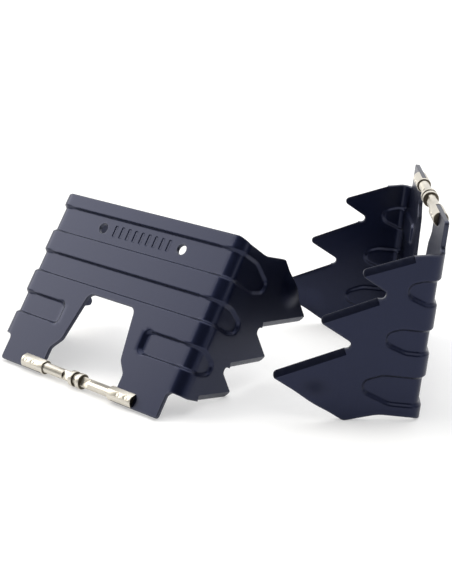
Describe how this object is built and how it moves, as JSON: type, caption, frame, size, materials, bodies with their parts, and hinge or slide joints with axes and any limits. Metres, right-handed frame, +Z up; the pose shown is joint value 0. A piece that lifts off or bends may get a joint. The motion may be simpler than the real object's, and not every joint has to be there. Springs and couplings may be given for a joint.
{
  "type": "ski crampons",
  "caption": "Pressed U-shaped ski crampons with three teeth on each flange and a collared axle across the front legs, for pin bindings.",
  "frame": {"origin": "on the ground, at the middle of the box round both crampons", "axes": "+Z up; +X from the tilted crampon to the standing one; the standing crampon's axle lies along Y"},
  "size_m": [0.1984, 0.1394, 0.0857],
  "materials": {
    "plate": "dark blue satin anodised",
    "axle": "turned, bright nickel",
    "rivet": "peened flush"
  },
  "bodies": {
    "standing": {"standing_plate": "plate", "standing_axle": "axle", "standing_rivet_1": "rivet", "standing_rivet_2": "rivet", "standing_rivet_3": "rivet", "standing_rivet_4": "rivet"},
    "tilted": {"tilted_plate": "plate", "tilted_axle": "axle", "tilted_rivet_1": "rivet", "tilted_rivet_2": "rivet", "tilted_rivet_3": "rivet", "tilted_rivet_4": "rivet"}
  },
  "joints": [
    {"name": "lift_tilted", "type": "slide", "parent": "standing", "child": "tilted", "axis": [0, 0, 1], "range_m": [0, 0.08]}
  ]
}
